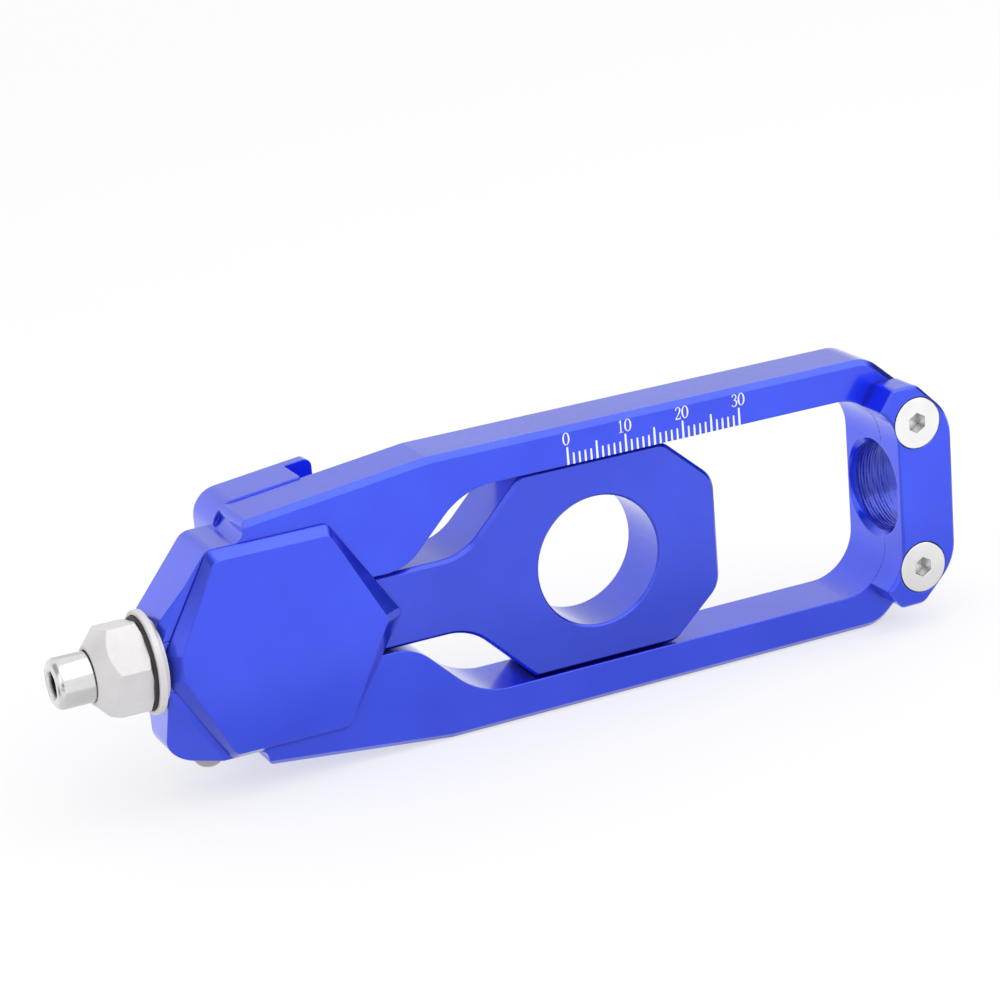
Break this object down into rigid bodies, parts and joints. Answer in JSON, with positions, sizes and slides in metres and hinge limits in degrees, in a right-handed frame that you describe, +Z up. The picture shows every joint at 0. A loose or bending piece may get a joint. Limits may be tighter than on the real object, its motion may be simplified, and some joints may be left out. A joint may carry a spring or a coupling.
{
  "type": "motorcycle chain adjuster",
  "caption": "Slotted plate with a sliding axle block, moved along an engraved scale by a captive bolt with a lock nut, and a split clamp at the tail.",
  "frame": {"origin": "on the axle hole's centreline, where it meets the plate's seat face, with the block in the pictured place", "axes": "+X along the slot, away from the bolt's head; +Y from the outer face towards the swing arm; +Z up, to the rail with the scale"},
  "size_m": [0.1483, 0.0235, 0.0452],
  "materials": {
    "blue_anodised": "satin anodised",
    "bright_steel": "bright turned and plated",
    "black_rubber": "matt black"
  },
  "bodies": {
    "frame": {"plate": "blue_anodised", "cover": "blue_anodised", "clamp_cap": "blue_anodised", "clamp_screws": "bright_steel", "cover_screws": "bright_steel", "lock_screw": "bright_steel", "washer": "bright_steel"},
    "block": {"axle_block": "blue_anodised"},
    "bolt": {"adjuster_bolt": "bright_steel"},
    "nut_ring": {"seal_ring": "black_rubber"},
    "nut": {"lock_nut": "bright_steel"}
  },
  "joints": [
    {"name": "bolt_turn", "type": "hinge", "parent": "frame", "child": "bolt", "pos_m": [-0.0718, -0.006, 0], "axis": [1, 0, 0], "range_deg": [-9324, 1548]},
    {"name": "block_slide", "type": "slide", "parent": "frame", "child": "block", "axis": [1, 0, 0], "range_m": [-0.0042, 0.0258]},
    {"name": "nut_turn", "type": "hinge", "parent": "nut_ring", "child": "nut", "pos_m": [-0.0778, -0.006, 0], "axis": [1, 0, 0], "range_deg": [-1090, 10]},
    {"name": "nut_slide", "type": "slide", "parent": "frame", "child": "nut_ring", "axis": [1, 0, 0], "range_m": [-0.00375, 0]}
  ],
  "couplings": [
    {"joint": "bolt_turn", "follows": "block_slide", "rad_per_m": -6283.2},
    {"joint": "nut_turn", "follows": "nut_slide", "rad_per_m": 5026.5}
  ]
}
